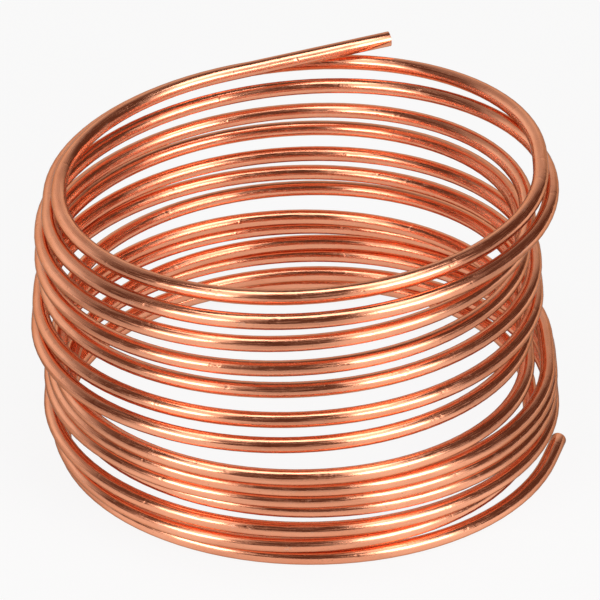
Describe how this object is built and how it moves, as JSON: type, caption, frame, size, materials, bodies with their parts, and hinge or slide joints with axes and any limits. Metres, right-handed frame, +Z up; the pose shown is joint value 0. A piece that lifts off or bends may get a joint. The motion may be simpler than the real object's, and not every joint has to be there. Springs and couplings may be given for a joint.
{
  "type": "copper tube coil",
  "caption": "Open coil of bare round copper tube, wound by hand into loose turns that stand on a level floor, with both ends cut square and left open.",
  "frame": {"origin": "middle of the coil's box in plan, at the level of the floor it stands on", "axes": "+Z up through the eye of the coil, -Y towards the side that the picture shows, +X towards the coil's right from there"},
  "size_m": [0.2192, 0.2356, 0.1289],
  "materials": {
    "copper": "bare drawn copper, bright"
  },
  "bodies": {
    "root": {"copper_tube": "copper"}
  },
  "joints": []
}
